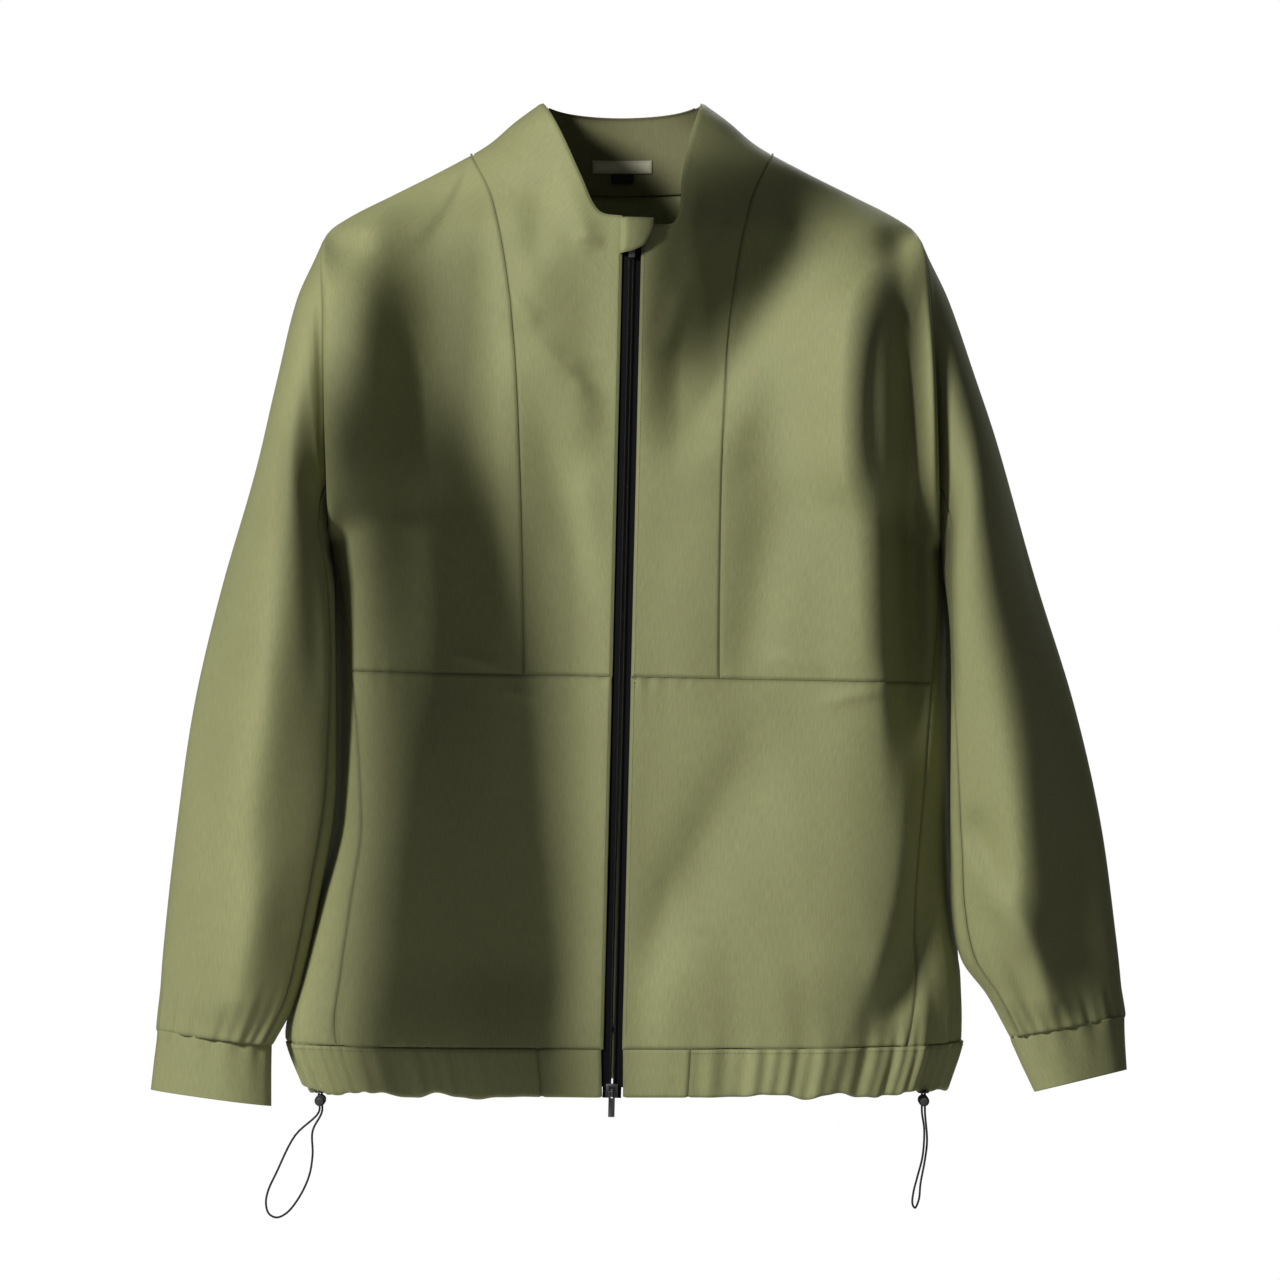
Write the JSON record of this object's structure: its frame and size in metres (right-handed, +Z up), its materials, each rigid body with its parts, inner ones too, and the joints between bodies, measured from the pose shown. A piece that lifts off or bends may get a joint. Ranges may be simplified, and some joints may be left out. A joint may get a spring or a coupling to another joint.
{
  "type": "zip blouson jacket",
  "caption": "Olive zip-front blouson with a funnel collar, gathered drawcord hem and elastic-backed cuffs, as it hangs from its shoulders.",
  "frame": {"origin": "middle of the neck, at the height where the shoulders rest on a hanger's arms", "axes": "+Z up, the zip side faces -Y, the wearer's left is +X"},
  "size_m": [0.7465, 0.1858, 0.8479],
  "materials": {
    "shell_cloth": "light plain-weave olive green cloth with a faint sheen",
    "inside_cloth": "dark olive facing cloth",
    "pocket_cloth": "thin dark lining cloth",
    "label_cloth": "satin woven ribbon, blank",
    "zip_tape": "black woven zip tape",
    "zip_teeth": "black moulded nylon",
    "black_metal": "black enamelled die casting, satin",
    "elastic_cord": "dark braided round elastic",
    "elastic_band": "black woven elastic",
    "stopper_plastic": "black moulded plastic",
    "spring_steel": "bright spring wire"
  },
  "bodies": {
    "jacket": {"right_front_neck": "shell_cloth", "right_front_chest": "shell_cloth", "right_front_skirt": "shell_cloth", "right_side_panel": "shell_cloth", "right_front_facing": "inside_cloth", "right_pocket_bag": "pocket_cloth", "hem_tab_right": "shell_cloth", "hem_band_right": "shell_cloth", "drawcord_front_right": "elastic_cord", "right_zip_tape": "zip_tape", "right_zip_pin": "zip_teeth", "right_zip_teeth": "zip_teeth", "right_zip_top_stop": "zip_teeth", "right_cord_loop": "elastic_cord", "right_stopper_barrel": "stopper_plastic", "right_stopper_spring": "spring_steel", "right_eyelet": "black_metal", "left_front_neck": "shell_cloth", "left_front_chest": "shell_cloth", "left_front_skirt": "shell_cloth", "left_side_panel": "shell_cloth", "left_front_facing": "inside_cloth", "left_pocket_bag": "pocket_cloth", "hem_tab_left": "shell_cloth", "hem_band_left": "shell_cloth", "drawcord_front_left": "elastic_cord", "left_zip_tape": "zip_tape", "left_zip_pin": "zip_teeth", "left_zip_teeth": "zip_teeth", "left_zip_top_stop": "zip_teeth", "left_cord_loop": "elastic_cord", "left_stopper_barrel": "stopper_plastic", "left_stopper_spring": "spring_steel", "left_eyelet": "black_metal", "back_collar": "shell_cloth", "back_panel": "shell_cloth", "hem_band_back": "shell_cloth", "neck_facing": "inside_cloth", "neck_label": "label_cloth", "size_tag": "label_cloth", "drawcord_back": "elastic_cord"},
    "left_sleeve": {"left_top_sleeve": "shell_cloth", "left_under_sleeve": "shell_cloth", "left_cuff": "shell_cloth", "left_cuff_elastic": "elastic_band"},
    "right_sleeve": {"right_top_sleeve": "shell_cloth", "right_under_sleeve": "shell_cloth", "right_cuff": "shell_cloth", "right_cuff_elastic": "elastic_band"},
    "upper_slider": {"upper_slider": "black_metal"},
    "upper_pull": {"upper_pull": "black_metal"},
    "lower_slider": {"lower_slider": "black_metal"},
    "lower_pull": {"lower_pull": "black_metal"},
    "garage_flap": {"zip_garage": "shell_cloth"},
    "left_plunger": {"left_stopper_plunger": "stopper_plastic"},
    "right_plunger": {"right_stopper_plunger": "stopper_plastic"}
  },
  "joints": [
    {"name": "left_sleeve_lift", "type": "hinge", "parent": "jacket", "child": "left_sleeve", "pos_m": [0.226, 0, -0.0545], "axis": [0, -1, 0], "range_deg": [0, 60]},
    {"name": "right_sleeve_lift", "type": "hinge", "parent": "jacket", "child": "right_sleeve", "pos_m": [-0.226, 0, -0.0545], "axis": [0, 1, 0], "range_deg": [0, 60]},
    {"name": "upper_slider_run", "type": "slide", "parent": "jacket", "child": "upper_slider", "axis": [-0.0237, -0.025, -0.9994], "range_m": [0, 0.3]},
    {"name": "upper_pull_swing", "type": "hinge", "parent": "upper_slider", "child": "upper_pull", "pos_m": [0.00791, -0.0786, -0.06209], "axis": [-0.9997, 0.0006, 0.0236], "range_deg": [0, 8]},
    {"name": "lower_slider_run", "type": "slide", "parent": "jacket", "child": "lower_slider", "axis": [0.0237, 0.025, 0.9994], "range_m": [0, 0.25]},
    {"name": "lower_pull_swing", "type": "hinge", "parent": "lower_slider", "child": "lower_pull", "pos_m": [-0.00719, -0.09458, -0.7001], "axis": [-0.9997, 0.0006, 0.0236], "range_deg": [0, 150]},
    {"name": "garage_flap_fold", "type": "hinge", "parent": "jacket", "child": "garage_flap", "pos_m": [-0.00208, -0.07734, -0.06173], "axis": [-0.0237, -0.025, -0.9994], "range_deg": [0, 120]},
    {"name": "left_stopper_press", "type": "slide", "parent": "jacket", "child": "left_plunger", "axis": [0, 1, 0], "range_m": [0, 0.002], "stiffness_N_per_m": 500, "springref_m": -0.002},
    {"name": "right_stopper_press", "type": "slide", "parent": "jacket", "child": "right_plunger", "axis": [0, 1, 0], "range_m": [0, 0.002], "stiffness_N_per_m": 500, "springref_m": -0.002}
  ]
}
